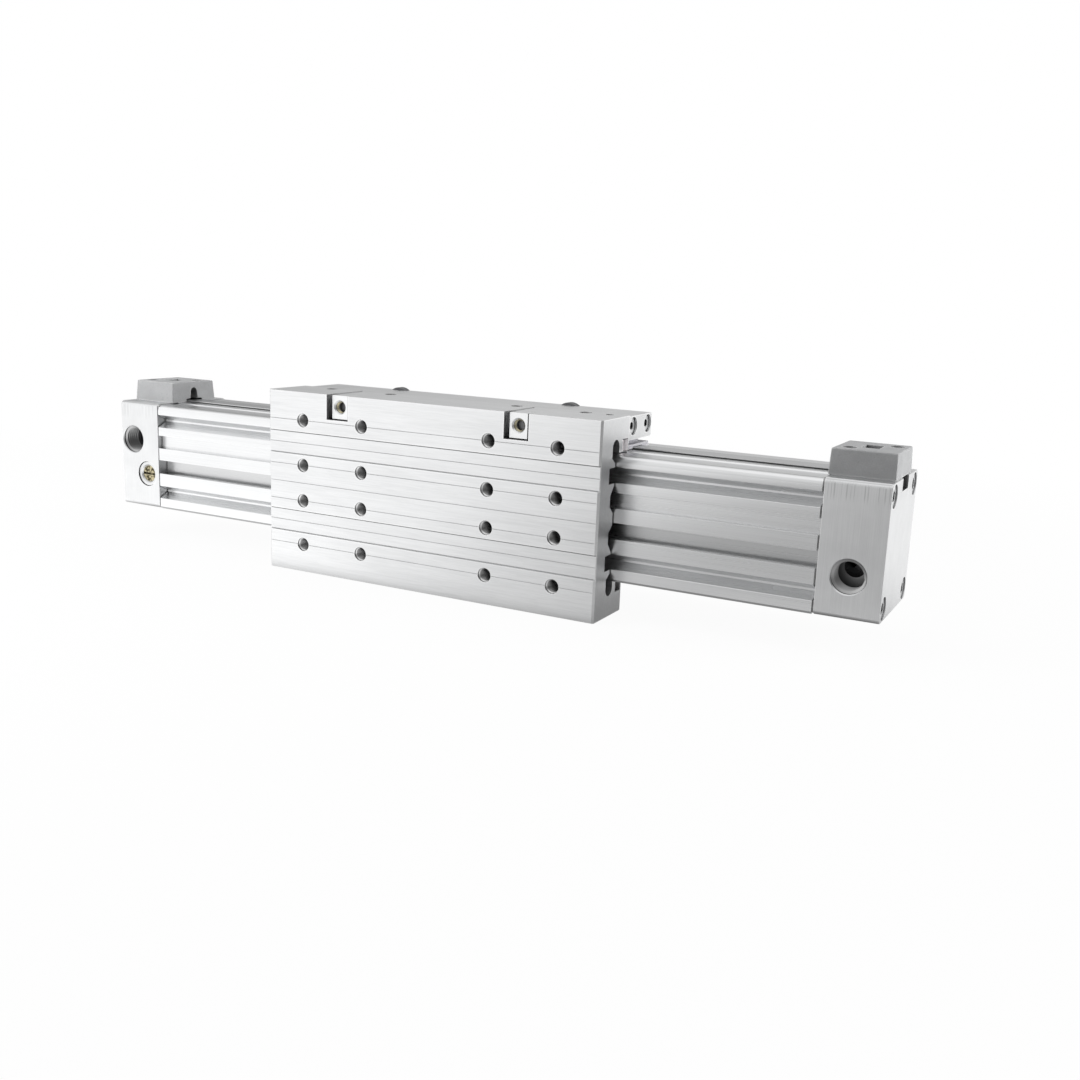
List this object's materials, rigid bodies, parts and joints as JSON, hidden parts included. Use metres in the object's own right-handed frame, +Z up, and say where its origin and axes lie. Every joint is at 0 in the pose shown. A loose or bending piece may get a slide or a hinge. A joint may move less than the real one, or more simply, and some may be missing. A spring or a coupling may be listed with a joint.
{
  "type": "rodless pneumatic cylinder",
  "caption": "Band-sealed rodless air cylinder with an external V-guided carriage plate, ported end caps and grey band covers",
  "frame": {"origin": "middle of the underside of the barrel and end caps, between the four threaded holes in the caps", "axes": "+X along the barrel from the left cap to the right cap, +Y away from the carriage plate, +Z up through the slot"},
  "size_m": [0.379, 0.0625, 0.0818],
  "materials": {
    "extrusion": "satin anodised extrusion",
    "machined_cap": "vertically brushed",
    "machined_plate": "milled, fine lines along X",
    "yoke_aluminium": "milled",
    "bridge_aluminium": "turned and milled",
    "cover_casting": "die cast, painted grey",
    "steel_band": "rolled strip",
    "zinc_steel": "zinc plated",
    "needle_brass": "turned",
    "seal_rubber": "moulded",
    "guide_plastic_light": "moulded",
    "guide_plastic_dark": "moulded",
    "magnet_ferrite": "sintered"
  },
  "bodies": {
    "cylinder": {"barrel": "extrusion", "end_cap_left": "machined_cap", "end_cap_right": "machined_cap", "band_cover_left": "cover_casting", "band_cover_right": "cover_casting", "outer_band": "steel_band", "inner_band": "steel_band", "band_clamp_left": "steel_band", "band_clamp_right": "steel_band", "cap_screws_left": "zinc_steel", "cap_screws_right": "zinc_steel", "cover_screws_left": "zinc_steel", "cover_screws_right": "zinc_steel", "clamp_screw_left": "zinc_steel", "clamp_screw_right": "zinc_steel", "needle_bushing_left": "zinc_steel", "needle_bushing_right": "zinc_steel", "port_plug_left": "zinc_steel", "port_plug_right": "zinc_steel", "cap_gasket_left": "seal_rubber", "cap_gasket_right": "seal_rubber", "cap_o_ring_left": "seal_rubber", "cap_o_ring_right": "seal_rubber", "cushion_seal_left": "seal_rubber", "cushion_seal_right": "seal_rubber"},
    "carriage": {"carriage_plate": "machined_plate", "yoke": "yoke_aluminium", "yoke_end_left": "yoke_aluminium", "yoke_end_right": "yoke_aluminium", "piston_bridge": "bridge_aluminium", "piston_left": "bridge_aluminium", "piston_right": "bridge_aluminium", "yoke_end_screws_left": "zinc_steel", "yoke_end_screws_right": "zinc_steel", "guide_screws": "zinc_steel", "bridge_screws": "zinc_steel", "piston_screws": "zinc_steel", "slot_nut_left": "zinc_steel", "slot_nut_right": "zinc_steel", "clamp_bolt_left": "zinc_steel", "clamp_bolt_right": "zinc_steel", "piston_seal_left": "seal_rubber", "piston_seal_right": "seal_rubber", "guide_strip_upper": "guide_plastic_light", "wiper_left": "guide_plastic_light", "wiper_right": "guide_plastic_light", "wear_ring_left": "guide_plastic_light", "wear_ring_right": "guide_plastic_light", "guide_strip_lower": "guide_plastic_dark", "guide_shoe_upper_left": "guide_plastic_dark", "guide_shoe_upper_right": "guide_plastic_dark", "guide_shoe_lower_left": "guide_plastic_dark", "guide_shoe_lower_right": "guide_plastic_dark", "magnet_left": "magnet_ferrite", "magnet_right": "magnet_ferrite"},
    "needle_left": {"cushion_needle_left": "needle_brass", "needle_o_ring_left": "seal_rubber"},
    "needle_right": {"cushion_needle_right": "needle_brass", "needle_o_ring_right": "seal_rubber"}
  },
  "joints": [
    {"name": "carriage_slide", "type": "slide", "parent": "cylinder", "child": "carriage", "axis": [1, 0, 0], "range_m": [-0.08, 0.08], "deforming": ["outer_band", "inner_band"]},
    {"name": "cushion_left", "type": "hinge", "parent": "cylinder", "child": "needle_left", "pos_m": [-0.1728, -0.02, 0.0166], "axis": [0, -1, 0], "range_deg": [-720, 720]},
    {"name": "cushion_right", "type": "hinge", "parent": "cylinder", "child": "needle_right", "pos_m": [0.1728, 0.02, 0.0166], "axis": [0, 1, 0], "range_deg": [-720, 720]}
  ]
}
